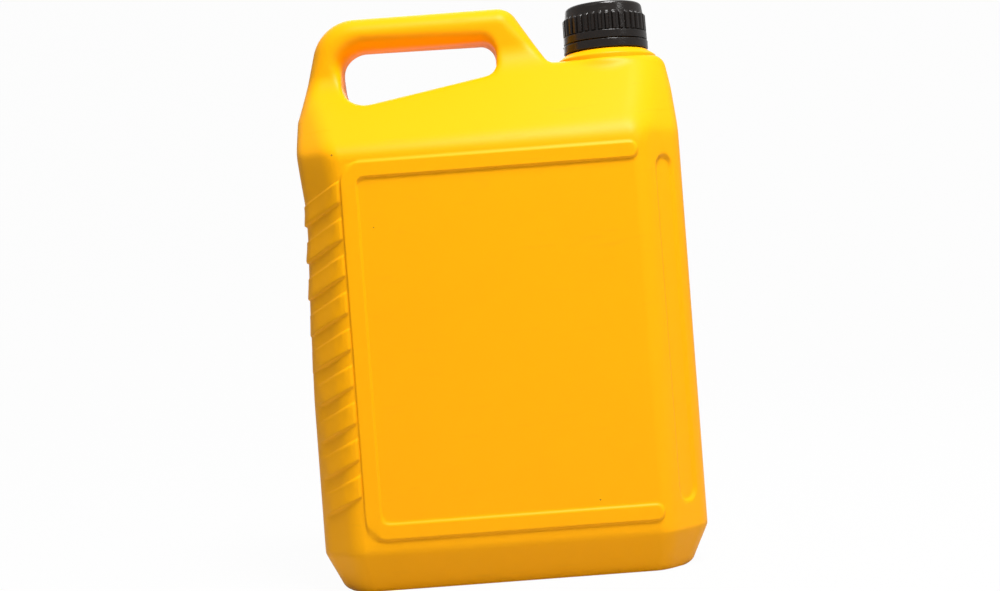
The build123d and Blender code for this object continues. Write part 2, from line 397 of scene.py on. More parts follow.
YELLOW = plastic(
    "yellow_polythene", colour=(0.91, 0.392, 0.0010), deep=(0.90, 0.372, 0.0008),
    roughness=0.40, gloss=0.09, bump=0.12, speck_colour=(0.30, 0.15, 0.01),
    skin={"Wave Scale": 55.0, "Waves": 0.5, "Grain Scale": 1500.0, "Grain": 0.05},
    wear={"Speck Scale": 170.0, "Speck Share": 0.5, "Scuff Scale": 45.0, "Scuffs": 0.5})
BLACK = plastic(
    "black_polypropylene", colour=(0.0080, 0.0060, 0.0050), deep=(0.011, 0.0083, 0.0070),
    roughness=0.24, gloss=0.3, bump=0.08, speck_colour=(0.12, 0.11, 0.10),
    skin={"Wave Scale": 160.0, "Waves": 0.6, "Grain Scale": 4200.0, "Grain": 0.25},
    wear={"Speck Scale": 500.0, "Speck Share": 0.4, "Scuff Scale": 90.0, "Scuffs": 1.0})
FOAM = plastic(
    "white_foam", colour=(0.86, 0.86, 0.84), deep=(0.80, 0.80, 0.77),
    roughness=0.75, gloss=0.5, bump=0.15, speck_colour=(0.5, 0.5, 0.5),
    skin={"Wave Scale": 700.0, "Waves": 1.0, "Grain Scale": 3800.0, "Grain": 1.0},
    wear={"Speck Scale": 300.0, "Speck Share": 0.0, "Scuff Scale": 60.0, "Scuffs": 0.0})
for node, finish in (("jug_body", YELLOW), ("tamper_ring", BLACK), ("screw_cap", BLACK),
                     ("cap_liner", FOAM)):
    solid = frame["nodes"][node]
    solid.data.materials.clear()
    solid.data.materials.append(finish)
print("finishes:", [material.name for material in (YELLOW, BLACK, FOAM)])

# %% [markdown]
# ## The outline of the jug
# A blow mould has two halves that meet in a flat plane through the handle, so every such
# jug has one outline. It could be read off the solids, but a line of straight runs with
# rounded corners is what the mould maker draws, and it is easy to change.
# The left side is pulled in a little below the shoulder, as the real jug's is.

# %% Draw the outline
MM = 0.001


def round_corners(corners, radii, step=0.8):
    """A line through corners (x, z), each rounded by its radius.

    A corner between the directions p and q starts and ends at corner -+ direction * r * tan(t / 2),
    with t the angle between them, and its arc turns about the point at r beside the line.
    """
    corners = np.asarray(corners, float)
    line = [corners[:1]]
    for before, corner, after, radius in zip(corners, corners[1:], corners[2:], radii[1:-1]):
        p = (corner - before) / np.linalg.norm(corner - before)
        q = (after - corner) / np.linalg.norm(after - corner)
        side = np.sign(p[0] * q[1] - p[1] * q[0])
        angle = math.acos(np.clip(p @ q, -1, 1))
        if radius * angle < 0.05:
            line.append(corner[None])
            continue
        start = corner - p * radius * math.tan(angle / 2)
        centre = start + side * radius * np.array([-p[1], p[0]])
        turn = np.linspace(0, angle, max(4, int(radius * angle / step) + 2))[:, None]
        out = side * np.array([-p[1], p[0]])
        line.append(centre + radius * (np.sin(turn) * p - np.cos(turn) * out))
    line.append(corners[-1:])
    return np.concatenate(line)


def lengths(line):
    """Distance along a line at each of its points."""
    return np.concatenate([[0], np.cumsum(np.linalg.norm(np.diff(line, axis=0), axis=1))])


def part_of(line, start, end, shares):
    """Points at the given shares of the line between its lengths start and end."""
    along = lengths(line)
    wanted = start + (end - start) * np.asarray(shares)
    return np.stack([np.interp(wanted, along, line[:, k]) for k in range(line.shape[1])], 1)


def length_near(line, x, z):
    """Length along a line at its point nearest to (x, z)."""
    along = lengths(line)
    fine = np.linspace(0, along[-1], 20000)
    points = part_of(line, 0, along[-1], fine / along[-1])
    return fine[np.argmin(np.hypot(points[:, 0] - x, points[:, 1] - z))]


side_z = np.linspace(-20, 300, 641)


def smoothed(values, reach):
    """A running average of values, weighed by a raised cosine that reaches so many places."""
    kernel = np.hanning(2 * reach + 1)
    return np.convolve(np.pad(values, reach, mode="edge"), kernel / kernel.sum(), mode="valid")


def soft_side(knots):
    """x of a side at the heights side_z: straight runs between knots (z, x), smoothed by 7 mm."""
    z, x = np.array(knots, float).T
    return smoothed(np.interp(side_z, z, x), 14)


FOOT = 20.0
FOOT_INSET = 10.0
SIDE_INSET = 8.8
SIDE_FOOT = 19.0
LEFT_EDGE = -96.3
RIGHT_EDGE = 95.35
below = 0.5 - side_z / (2 * SIDE_FOOT)
foot_taper = SIDE_INSET * (below + np.sqrt(below ** 2 + 0.0008))
TAPERED_LEFT = foot_taper + soft_side(
    [(-20, LEFT_EDGE), (95, LEFT_EDGE), (140, -95.0), (175, -93.4), (190, -93.3), (205, -94.9),
     (219, LEFT_EDGE), (226, LEFT_EDGE), (240, LEFT_EDGE)])
TAPERED_RIGHT = -foot_taper + soft_side(
    [(-20, RIGHT_EDGE), (222, RIGHT_EDGE), (240, 94.9), (255, 93.4)])
BASE_CORNER = 3.0


def left_x(z):
    """x of the left side, drawn in at the base by the round corner there."""
    low = np.clip(BASE_CORNER - z, 0, BASE_CORNER)
    return np.interp(z, side_z, TAPERED_LEFT) + BASE_CORNER - np.sqrt(BASE_CORNER ** 2 - low ** 2)


def right_x(z):
    """x of the right side, drawn in at the base as the left one is."""
    low = np.clip(BASE_CORNER - z, 0, BASE_CORNER)
    return np.interp(z, side_z, TAPERED_RIGHT) - BASE_CORNER + np.sqrt(BASE_CORNER ** 2 - low ** 2)


RIDGE = 258.0
BEND = 217.0
HANDLE_TOP = 289.8
HOLE_LEFT = -73.3
HOLE_RIGHT = 7.2
HOLE_TOP = 272.5
low_z = np.concatenate([BASE_CORNER - BASE_CORNER * np.cos(np.linspace(0, np.pi / 2, 9)),
                        np.linspace(4, 236, 117)])
high_z = np.concatenate([np.linspace(246, 4, 122),
                         BASE_CORNER - BASE_CORNER * np.sin(np.linspace(0, np.pi / 2, 9))])
arch = round_corners([(LEFT_EDGE, 237.5), (-83.4, HANDLE_TOP), (15.6, HANDLE_TOP), (33.8, RIDGE),
                      (93.0, RIDGE), (float(right_x(246)), 246)], [0, 23, 11.5, 5, 6.5, 0])
OUTLINE = np.concatenate([np.stack([left_x(low_z), low_z], 1), arch[1:-1],
                          np.stack([right_x(high_z), high_z], 1)])
HOLE = round_corners([(HOLE_LEFT, 255), (HOLE_LEFT, HOLE_TOP), (HOLE_RIGHT, HOLE_TOP),
                      (HOLE_RIGHT, 254.3), (HOLE_LEFT, 239.2), (HOLE_LEFT, 255)],
                     [0, 13, 7.4, 7.4, 13, 0])
print("outline", round(lengths(OUTLINE)[-1]), "mm, finger hole", round(lengths(HOLE)[-1]), "mm")

# %% [markdown]
# ## The depth of the jug
# The skin of a mould half has one depth at each place of the outline's plane, so a single
# function of x and z can give it: the least of the front face, the cut corners, the foot and
# the sloping shoulder, and at least the half thickness of the handle. Plain least and most
# leave sharp creases, and blown plastic can't follow those, so each is softened.

# %% Work out the depth
def soft_least(a, b, k):
    """The lesser of a and b, rounded where they differ by under k: min - (k - |a - b|)^2 / 4k."""
    return np.minimum(a, b) - np.maximum(k - np.abs(a - b), 0) ** 2 / (4 * k)


def soft_most(a, b, k):
    """The greater of a and b, rounded in the same way."""
    return -soft_least(-a, -b, k)


def step_up(t):
    """Smooth step from 0 to 1: 3 t^2 - 2 t^3."""
    t = np.clip(t, 0, 1)
    return t * t * (3 - 2 * t)


HALF_DEPTH = 61.0
HANDLE_HALF = 15.0
NECK_X = 65.0
LEFT_CUT = 43.5
RIGHT_CUT = 39.5
BOSS = 27.4


def plain_depth(x, z):
    """Half depth of the jug at (x, z) before its edges are rounded, in mm."""
    up = (z - BEND) / (RIDGE - BEND)
    up = (up + np.sqrt(up ** 2 + 0.006)) / 2
    low = FOOT_INSET * (math.sqrt(2) - 1) * np.clip(1 - z / FOOT, 0, 1)
    left = LEFT_CUT - 38.5 * up - low + (x - np.interp(z, side_z, TAPERED_LEFT))
    right = RIGHT_CUT - 25.5 * up - low + (np.interp(z, side_z, TAPERED_RIGHT) - x)
    ridge_half = 9 + (x + 91.4) / 181.4 * 16
    slope = HALF_DEPTH - (z - BEND) / (RIDGE - BEND) * (HALF_DEPTH - ridge_half)
    foot = HALF_DEPTH - FOOT_INSET + z * FOOT_INSET / FOOT
    depth = soft_least(np.full_like(x, HALF_DEPTH), slope, 6.5)
    depth = soft_least(depth, foot, 1.6)
    depth = soft_least(depth, left, 5.0)
    depth = soft_least(depth, right, 5.0 + 5.0 * step_up((z - 210) / 20))
    boss = np.sqrt(np.maximum(BOSS ** 2 - (x - NECK_X) ** 2, 0))
    depth = np.where(z > 235, soft_most(depth, boss, 3.0), depth)
    return soft_most(depth, np.full_like(x, HANDLE_HALF), 9.0)


def edge_distance(x, z, line, radii):
    """Distance of each place to a line, and the edge radius at the nearest point of the line.

    For each segment from a to b: t = clamp((p - a).(b - a) / |b - a|^2), distance |p - a - t (b - a)|.
    """
    p = np.stack([x.ravel(), z.ravel()], 1)
    a, b = line[:-1], line[1:]
    run = b - a
    square = np.maximum((run ** 2).sum(1), 1e-12)
    away, radius = np.empty(len(p)), np.empty(len(p))
    for part in np.array_split(np.arange(len(p)), max(1, len(p) // 4000)):
        gap = p[part, None, :] - a[None]
        t = np.clip((gap * run).sum(2) / square, 0, 1)
        miss = np.hypot(gap[..., 0] - t * run[:, 0], gap[..., 1] - t * run[:, 1])
        best = miss.argmin(1)
        rows = np.arange(len(part))
        away[part] = miss[rows, best]
        share = t[rows, best]
        radius[part] = radii[best] * (1 - share) + radii[best + 1] * share
    return away.reshape(x.shape), radius.reshape(x.shape)


BASE_EDGE = 3.0
SIDE_EDGE = 4.2
HANDLE_EDGE = 9.6
RIDGE_EDGE = 3.5
HOLE_EDGE = 2.8
BAR_EDGE = 8.2


def soft_radii():
    """Radius of the moulded edge along the outline, with soft changes between its stretches."""
    x, z = OUTLINE.T
    radius = np.where(z < 238, SIDE_EDGE, HANDLE_EDGE)
    radius = np.where((x > 31) & (z > 235), RIDGE_EDGE, radius)
    radius = np.where(z < 2.9, BASE_EDGE, radius)
    along = lengths(OUTLINE)
    even = np.linspace(0, along[-1], 1800)
    return np.interp(along, even, smoothed(np.interp(even, along, radius), 15))


EDGE_RADII = soft_radii()
on_bar = step_up((HOLE[:, 1] - 255 - (HOLE[:, 0] + 73) * 0.15) / 12)
HOLE_RADII = HOLE_EDGE + (BAR_EDGE - HOLE_EDGE) * on_bar


def edge_fall(away, radius, ratio):
    """How far a round edge falls away, an ellipse: k r (1 - sqrt(1 - (1 - d / r)^2)) for d < r."""
    near = np.clip(1 - away / radius, 0, 1)
    return ratio * radius * (1 - np.sqrt(np.maximum(1 - near ** 2, 0)))


# %% [markdown]
# ## The raised frame
# Both faces carry a raised frame that is open to the right and stiffens the flat panel.
# It could be a strip laid on the skin, but it is one wall with it, so the skin itself is moved
# along its own direction, by a distance that is a function of the place.

# %% Work out the frame
SOFT = 0.75
FRAME = dict(left=-73.2, right=72.0, bottom=26.3, top=210.7, band=7.8, corner=10.0, height=1.0)
FAR_INSIDE = -10.0


def box_distance(x, z, left, right, bottom, top, corner):
    """Signed distance to a box with round corners: |max(q, 0)| + min(max(q), 0) - r."""
    qx = np.abs(x - (left + right) / 2) - (right - left) / 2 + corner
    qz = np.abs(z - (bottom + top) / 2) - (top - bottom) / 2 + corner
    return np.hypot(np.maximum(qx, 0), np.maximum(qz, 0)) + np.minimum(np.maximum(qx, qz), 0) - corner


def raised(distance, soft=SOFT):
    """1 inside a form and 0 outside, with a soft step as wide as soft at its edge."""
    return step_up(0.5 - distance / soft)


def frame_relief(x, z):
    """Height of the frame: a box less a smaller box, where both run off to the right.

    Past its right end, the distance is that of two round caps, one for each arm.
    """
    f = FRAME
    band, off = f["band"], f["right"] + 60
    outer = box_distance(x, z, f["left"], off, f["bottom"], f["top"], f["corner"])
    inner = box_distance(x, z, f["left"] + band, off, f["bottom"] + band, f["top"] - band,
                         f["corner"] - 6)
    end_x = f["right"] - band / 2
    dz = np.minimum(np.abs(z - f["bottom"] - band / 2), np.abs(z - f["top"] + band / 2))
    end = np.where(x > end_x, np.hypot(x - end_x, dz) - band / 2, FAR_INSIDE)
    return f["height"] * raised(np.maximum(np.maximum(outer, -inner), end))


# %% [markdown]
# ## The ribs
# Nine slanted ribs on the left corners give the second hand a hold. Each is a wedge that is
# highest along its lower edge, and they fade into the side further down. They could be nine
# copies of one block, but a saw wave along the corner gives all of them at once,
# and lets their height change from rib to rib.

# %% Work out the ribs
RIBS = dict(count=9, top=202.2, pitch=17.9, band=10.3, drop=11.0, left=-95.2, height=1.3,
            edge=(1.5, 1.4, 1.0, 0.5, 0.2, 0.0, 0.0, 0.0, 0.0))
RIB_SLANT = 0.894
FAR_OUTSIDE = 50.0


def rib_relief(x, z):
    """Height of the ribs: the distance below the first rib, folded by the pitch.

    Inside a band the height is lean * gain * on_front: lean raises it towards the lower edge on
    the side and lowers it a little there on the face, gain is each rib's share at the outer
    side, and on_front lowers all of them on the face.
    """
    r = RIBS
    share = np.clip((FRAME["left"] - x) / 22.0, 0, 1.2)
    from_top = r["top"] - r["drop"] * share - z
    number = np.floor(np.clip(from_top, 0, None) / r["pitch"])
    place = from_top - number * r["pitch"]
    across = np.abs(place - r["band"] / 2) - r["band"] / 2
    across = np.where(number < r["count"], across, FAR_OUTSIDE)
    across = np.minimum(across, np.where(from_top < 0, -from_top, FAR_OUTSIDE))
    above = np.where(number + 1 < r["count"], r["pitch"] - place, FAR_OUTSIDE)
    across = np.minimum(across, above) * RIB_SLANT
    fallen = 0.45 * step_up((place - 1.0) / (r["band"] - 1.0))
    lean = np.where(x < FRAME["left"] - 5, 0.45 + fallen, 1.0 - 0.25 * fallen)
    at_edge = np.array(r["edge"])[np.clip(number, 0, r["count"] - 1).astype(int)]
    gain = 1 + (at_edge - 1) * step_up((share - 0.72) / 0.25)
    on_front = 1 - 0.24 * step_up((x + 82.0) / 6.0)
    inside = raised(np.maximum(across, x - FRAME["left"] + 1.0))
    return r["height"] * lean * gain * on_front * inside


# %% [markdown]
# ## The long groove
# A long round-ended groove is sunk into each right corner, where it stiffens the wall. It could be
# cut with a boolean, but as a distance to a line it joins the same relief, and keeps the
# points of the skin in their rows.

# %% Work out the groove
GROOVE = dict(bottom=33.3, top=203.7, width=12.0, depth=1.25, x=85.5, soft=1.3)


def groove_relief(x, z):
    """Depth of the groove: the distance to an upright line, less half the width.

    The corner is cut at 45 degrees, so a step in x is sqrt(2) times as long on it.
    """
    g = GROOVE
    half = g["width"] / 2
    s = (x - g["x"]) * 1.414
    dz = np.maximum(np.maximum(g["bottom"] + half - z, z - g["top"] + half), 0)
    return g["depth"] * raised(np.hypot(s, dz) - half, g["soft"])


def relief(x, z):
    """How far the skin stands out at (x, z), in mm."""
    return np.maximum(frame_relief(x, z), rib_relief(x, z)) - groove_relief(x, z)


# %% [markdown]
# ## One point of the skin
# Depth, round edges and relief come together here. The edge of a blown jug isn't a plain
# quarter circle: it is deeper than wide on the handle, where the plastic was pinched,
# so the fall of the edge is an ellipse. The relief goes along the normal, and not straight
# out, so that the ribs stand out sideways on the corners too.

# %% Put the skin together
def skin_at(x, z, with_relief=True):
    """Point (x, y, z) of the front half of the skin: depth, round edges, then the relief.

    The normal of y = -h(x, z) is (-dh/dx, -1, -dh/dz), scaled to 1, by central differences.
    """
    away, radius = edge_distance(x, z, OUTLINE, EDGE_RADII)
    hole_away, hole_radius = edge_distance(x, z, HOLE, HOLE_RADII)
    h = plain_depth(x, z)
    ratio = 1 + 0.28 * step_up((radius - 4.5) / 4)
    hole_ratio = 1 + 0.52 * step_up((hole_radius - 4) / 4)
    h = h - np.maximum(edge_fall(away, radius, ratio),
                       edge_fall(hole_away, hole_radius, hole_ratio))
    if not with_relief:
        return np.stack([x, -h, z], -1)
    e = 0.05
    dx = (plain_depth(x + e, z) - plain_depth(x - e, z)) / (2 * e)
    dz = (plain_depth(x, z + e) - plain_depth(x, z - e)) / (2 * e)
    out = relief(x, z) / np.sqrt(dx ** 2 + 1 + dz ** 2)
    return np.stack([x - out * dx, -h - out, z - out * dz], -1)


# %% [markdown]
# ## Where the points go
# The front half is laid out in patches that share their borders: the body up to the bend, the
# shoulder above it, the arch of the handle, and strips that run back from the outline to the
# plane where the mould halves meet. A remesh of a rough block could give the same form, but
# patches keep the points in lines along the frame, the ribs and the round edges.

# %% Space the rows and columns
HOLE_END = 8.0
RIDGE_START = 31.0
RIGHT_END = 95.5
BODY_TOP = 214.0


def crowded(start, end, count, marks, width, gain):
    """count + 1 places from start to end, closer together near the marks.

    They are even in the integral of 1 + gain * sum(exp(-((t - mark) / width)^2)).
    """
    t = np.linspace(start, end, 4001)
    density = 1 + gain * sum(np.exp(-((t - mark) / width) ** 2) for mark in marks)
    total = np.concatenate([[0], np.cumsum((density[1:] + density[:-1]) / 2)])
    return np.interp(np.linspace(0, total[-1], count + 1), total, t)


def cosine(count):
    """count + 1 places from 0 to 1, crowded at both ends: (1 - cos(pi t)) / 2."""
    return (1 - np.cos(np.pi * np.linspace(0, 1, count + 1))) / 2


def spacings(fineness):
    """The places of rows and columns. A fineness of 1 gives the most points."""
    def count(most):
        return max(4, int(round(most * fineness)))
    rib_edges = [RIBS["top"] - RIBS["pitch"] * k - b
                 for k in range(RIBS["count"]) for b in (0, RIBS["band"])]
    form_edges = [0, 1.5, 20, 26.5, 34, 203, 210.5]
    return dict(
        across=cosine(count(20)),
        strip=crowded(0, 1, count(12), [0.2], 0.08, 2.0),
        under_hole=crowded(HOLE_LEFT, HOLE_END, count(50), [-73.2, -65.4], 1.6, 4.0),
        ridge=crowded(RIDGE_START, RIGHT_END, count(58), [71.5, 81.3, 89.7, 95.5], 1.6, 2.6),
        rows=crowded(0, BODY_TOP, count(186), rib_edges + form_edges, 1.2, 2.5),
        rise=crowded(0, 1, count(28), [0.08, 1.0], 0.09, 2.0),
        arch=[count(40), count(60), count(34)])


print("rows of the body:", len(spacings(1.0)["rows"]))

# %% [markdown]
# ## Body, shoulder and handle
# Each patch is first laid out flat, as x and z, and gets its depth afterwards. Plain level rows
# would cut across the slanted ribs and give them ragged edges, so the rows of the body drop
# to the left as the ribs do. The shoulder joins four different borders, and so it is
# a blend of its bottom and top, with what is missing at the sides shared out between them.

# %% Lay out the patches
LEFT_SPLIT = length_near(OUTLINE, -93.9, 248)
RIGHT_SPLIT = length_near(OUTLINE, 30.3, 266)
CORNER_SPLIT = length_near(OUTLINE, float(right_x(244)), 244)
HOLE_SPLIT = length_near(HOLE, HOLE_RIGHT, 263)


def body_plane(space):
    """x and z of the body up to BODY_TOP: (row, column) -> (column, row - drop to the left)."""
    left_share, right = space["across"], space["ridge"]
    middle = np.concatenate([space["under_hole"][1:],
                             (HOLE_END + (RIDGE_START - HOLE_END) * left_share)[1:]])
    rows = space["rows"]
    drop = np.interp(rows, [0, 6, 46, RIBS["top"], BODY_TOP], [0, 0, RIBS["drop"], RIBS["drop"], 0])
    z = np.repeat(rows[:, None], len(left_share) + len(middle) + len(right) - 1, 1)
    z[:, :len(left_share)] -= drop[:, None] * (1 - left_share)
    left = left_x(z[:, :len(left_share)]) * (1 - left_share) + HOLE_LEFT * left_share
    right_share = (right - RIDGE_START) / (RIGHT_END - RIDGE_START)
    right = RIDGE_START + right_share[None] * (right_x(rows) - RIDGE_START)[:, None]
    return np.concatenate([left, np.repeat(middle[None], len(rows), 0), right[:, 1:]], 1), z


def shoulder_plane(space, bottom):
    """Points (x, z) from the top row of the body up to the handle and the ridge.

    (1 - v) * bottom + v * top, and then the gap at each side times 1 - u or u.
    """
    share, rise = space["across"][:, None], space["rise"]
    outline_start, outline_end = part_of(OUTLINE, LEFT_SPLIT, RIGHT_SPLIT, [0, 1])
    hole_end = part_of(HOLE, HOLE_SPLIT, HOLE_SPLIT, [0])[0]
    under = part_of(HOLE, lengths(HOLE)[-1], HOLE_SPLIT,
                    (space["under_hole"] - HOLE_LEFT) / (HOLE_END - HOLE_LEFT))
    ridge = part_of(OUTLINE, RIGHT_SPLIT, CORNER_SPLIT,
                    (space["ridge"] - RIDGE_START) / (RIGHT_END - RIDGE_START))
    top = np.concatenate([outline_start + (HOLE[0] - outline_start) * share, under[1:],
                          (hole_end + (outline_end - hole_end) * share)[1:], ridge[1:]])
    left = part_of(OUTLINE, length_near(OUTLINE, *bottom[0]), LEFT_SPLIT, rise)
    right = part_of(OUTLINE, length_near(OUTLINE, *bottom[-1]), CORNER_SPLIT, rise)
    left[0], right[0] = bottom[0], bottom[-1]
    u = np.linspace(0, 1, len(top))[None, :, None]
    v = rise[:, None, None]
    plane = (1 - v) * bottom[None] + v * top[None]
    left_gap, right_gap = left[:, None] - plane[:, :1], right[:, None] - plane[:, -1:]
    return plane + (1 - u) * left_gap + u * right_gap


def spread(line, marks, counts):
    """Points along a line, even between each two of the lengths in marks."""
    runs = [part_of(line, a, b, np.linspace(0, 1, n + 1))[:-1]
            for a, b, n in zip(marks, marks[1:], counts)]
    return np.concatenate(runs + [part_of(line, marks[-1], marks[-1], [0])])


def handle_plane(space):
    """Points (x, z) of the arch, from the outline in to the hole: outer + t * (inner - outer)."""
    inner = spread(HOLE, [0, length_near(HOLE, -60, HOLE_TOP), length_near(HOLE, 0, HOLE_TOP),
                          HOLE_SPLIT], space["arch"])
    outer = spread(OUTLINE, [LEFT_SPLIT, length_near(OUTLINE, -66, HANDLE_TOP),
                             length_near(OUTLINE, 9, HANDLE_TOP), RIGHT_SPLIT], space["arch"])
    return outer[None] + (inner - outer)[None] * space["across"][:, None, None]


print("shares of the outline:", [round(v) for v in (LEFT_SPLIT, RIGHT_SPLIT, CORNER_SPLIT)], "mm")

# %% [markdown]
# ## Closing the half
# The two halves of the mould meet in a plane, and the plastic squeezes out there by a
# tenth of a millimetre, which leaves the parting line round every blown bottle. The strips that
# run back to that plane carry the line. The underside is such a strip too, pushed up inside
# a rim, since a jug with a flat bottom would rock on its bulge.

# %% Close the half
PARTING_HEIGHT = 0.12
PARTING_WIDTH = 0.5
BASE_RIM = 8.0
BASE_RISE = 2.0


def strip_back(border, shares, way):
    """A strip from a border of the skin back to the plane y = 0, with the mould's parting line.

    (s, w) -> border + w * (0, -y, 0); the last PARTING_WIDTH stands out across the border,
    to the left of its run where way is 1 and to the right where it is -1.
    """
    depth = border[None, :, 1]
    w = shares[:-1, None]
    y = np.concatenate([depth * (1 - w) - PARTING_WIDTH * w, 0 * depth - PARTING_WIDTH,
                        0 * depth - 0.2, 0 * depth])
    closed = np.allclose(border[0], border[-1])
    padded = np.concatenate([border[-2:-1], border, border[1:2]]) if closed else border
    run = np.gradient(padded[:, [0, 2]], axis=0)[1 if closed else 0:len(border) + closed]
    run /= np.maximum(np.linalg.norm(run, axis=1, keepdims=True), 1e-9)
    out = way * np.array([0.0] * (len(y) - 2) + [0.1, PARTING_HEIGHT])[:, None]
    out = out * (np.abs(border[:, 2]) > 4)
    grid = np.empty((*y.shape, 3))
    on_left = (border[:, 0] < -85) & (border[:, 2] > 5) & (border[:, 2] < 213)
    plain = np.where(on_left, left_x(border[:, 2]), border[:, 0])
    back = step_up(np.linspace(0, 3, len(y)))[:, None]
    grid[..., 0] = border[:, 0] * (1 - back) + plain * back + run[:, 1] * out
    grid[..., 1] = y
    grid[..., 2] = border[:, 2] - run[:, 0] * out
    return grid


def base_strip(border, shares):
    """The underside: the same strip, pushed up by BASE_RISE inside a rim, in a soft step."""
    grid = strip_back(border, shares, 1)
    x, y = grid[..., 0], grid[..., 1]
    inside = np.minimum(np.minimum(x - x[0, 0], x[0, -1] - x), y - border[None, :, 1])
    grid[..., 2] = border[None, :, 2] + BASE_RISE * step_up((inside - BASE_RIM) / 3.0)
    return grid


def patches(fineness=1.0, with_relief=True):
    """The patches of the front half as grids of points, in mm."""
    space = spacings(fineness)
    x, z = body_plane(space)
    plane = shoulder_plane(space, np.stack([x[-1], z[-1]], 1))
    arch_plane = handle_plane(space)
    body = skin_at(x, z, with_relief)
    shoulder = skin_at(plane[..., 0], plane[..., 1], with_relief)
    handle = skin_at(arch_plane[..., 0], arch_plane[..., 1], with_relief)
    hole_start = len(space["across"]) - 1
    hole_end = hole_start + len(space["under_hole"]) - 1
    ridge_start = hole_end + len(space["across"]) - 1
    outside = np.concatenate([body[:, 0], shoulder[1:, 0], handle[0, 1:],
                              shoulder[-1, ridge_start + 1:], shoulder[-2::-1, -1], body[-2::-1, -1]])
    around_hole = np.concatenate([handle[-1], shoulder[-1, hole_start:hole_end][::-1]])
    return [body, shoulder, handle, strip_back(outside, space["strip"], -1),
            strip_back(around_hole, space["strip"], 1), base_strip(body[0], space["strip"])]


# %% [markdown]
# ## Skin and lining
# The back half is the mirror image of the front one. The two could be left side by side, but
# then each seam would be an open edge, so their shared points are merged. The jug is hollow, and
# through the open neck its inside shows: the lining is a coarser copy of the skin without
# its relief, moved in by the wall. Both are cut open under the neck.

# %% Join the halves
WALL = 1.4
NECK_CUT = 21.5
NECK_CUT_FLOOR = 255.0


def shell_mesh(name, grids, offset=0.0):
    """Joins the grids of a half with its mirror image into one skin, moved out by offset (mm)."""
    points, faces, start = [], [], 0
    for grid in grids:
        for mirror in (1, -1):
            part = grid * np.array([1, mirror, 1]) * MM
            points.append(part.reshape(-1, 3))
            faces.append(grid_faces(*grid.shape[:2], offset=start))
            start += points[-1].shape[0]
    piece = make_piece(name, np.concatenate(points), np.concatenate(faces))
    work = bmesh.new()
    work.from_mesh(piece.data)
    bmesh.ops.remove_doubles(work, verts=work.verts, dist=2e-6)
    thin = [face for face in work.faces if face.calc_area() < 1e-13]
    bmesh.ops.delete(work, geom=thin, context="FACES_ONLY")
    bmesh.ops.recalc_face_normals(work, faces=work.faces)
    work.to_mesh(piece.data)
    if offset:
        normals = np.empty(len(piece.data.vertices) * 3)
        piece.data.vertex_normals.foreach_get("vector", normals)
        places = np.empty_like(normals)
        piece.data.vertices.foreach_get("co", places)
        piece.data.vertices.foreach_set("co", places + normals * offset * MM)
        piece.data.flip_normals()
        work.clear()
        work.from_mesh(piece.data)
    open_edges = sum(1 for edge in work.edges if edge.is_boundary)
    middles = np.array([face.calc_center_median() for face in work.faces]) / MM
    under_neck = ((middles[:, 2] > NECK_CUT_FLOOR)
                  & (np.hypot(middles[:, 0] - NECK_X, middles[:, 1]) < NECK_CUT))
    cut = [face for face, is_under in zip(work.faces, under_neck) if is_under]
    bmesh.ops.delete(work, geom=cut, context="FACES")
    work.to_mesh(piece.data)
    work.free()
    piece.data.update()
    print(name, len(piece.data.polygons), "faces,", open_edges, "open edges before the neck hole")
    return piece


# %% Make the skin
jug_skin = shell_mesh("jug_skin", patches())
jug_lining = shell_mesh("jug_lining", patches(0.45, False), offset=-WALL)
for piece in (jug_skin, jug_lining):
    piece.data.materials.append(YELLOW)
    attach(piece, "jug")

# %% [markdown]
# ## Neck and collar
# The neck is formed in the mould's neck ring: a conical collar, a bead that holds the tamper
# ring, a right-hand thread and a cut rim. It could be turned on a screw modifier, but the
# thread isn't the same all round, so each is a radius that is a function of turn and place
# on the profile. The thread fades out at both ends, as a moulded one does.

# %% Turn the neck
PITCH = 6.0
THREAD_BOTTOM = 269.6
THREAD_TOP = 283.4
NECK = 17.4
BORE = 15.7
COLLAR = 25.7
BEAD = 19.3


def turned(name, profile, bulge, spokes):
    """A profile (r, z) carried round the neck's axis, (a, s) -> (X + R cos a, R sin a, z).

    R = r + bulge(a, r, z), with all three as whole arrays.
    """
    angle = np.linspace(0, 2 * np.pi, spokes + 1)
    a, r = np.meshgrid(angle, profile[:, 0])
    z = np.repeat(profile[:, 1:], spokes + 1, 1)
    out = r + bulge(a, r, z)
    points = np.stack([NECK_X + out * np.cos(a), out * np.sin(a), z], -1) * MM
    piece = make_piece(name, points, grid_faces(*a.shape))
    work = bmesh.new()
    work.from_mesh(piece.data)
    bmesh.ops.remove_doubles(work, verts=work.verts, dist=2e-6)
    bmesh.ops.recalc_face_normals(work, faces=work.faces)
    work.to_mesh(piece.data)
    work.free()
    piece.data.set_sharp_from_angle(angle=math.radians(48))
    print(name, len(piece.data.polygons), "faces")
    return piece


def resampled(corners, radii, step):
    """A closed profile with rounded corners, with points about step apart on its long runs."""
    line = round_corners(corners, radii, 0.25)
    runs = []
    for a, b in zip(line, line[1:]):
        count = max(2, int(np.ceil(np.linalg.norm(b - a) / step)) + 1)
        runs.append(a + np.linspace(0, 1, count)[:-1, None] * (b - a))
    return np.concatenate(runs + [line[-1:]])


def thread(a, z, bottom, top, phase, crest, half):
    """A right-hand thread: 1 - |turns| past half, soft, where turns = (z - bottom) / pitch - a / 2 pi.

    It is crest high and fades in and out over a quarter of a turn at its ends.
    """
    turns = (z - bottom) / PITCH - a / (2 * np.pi) + phase
    off = np.abs(turns - np.round(turns)) * PITCH
    ends = step_up((z - bottom) / 1.2) * step_up((top - z) / 1.2)
    return crest * step_up((half - off) / 0.8) * ends


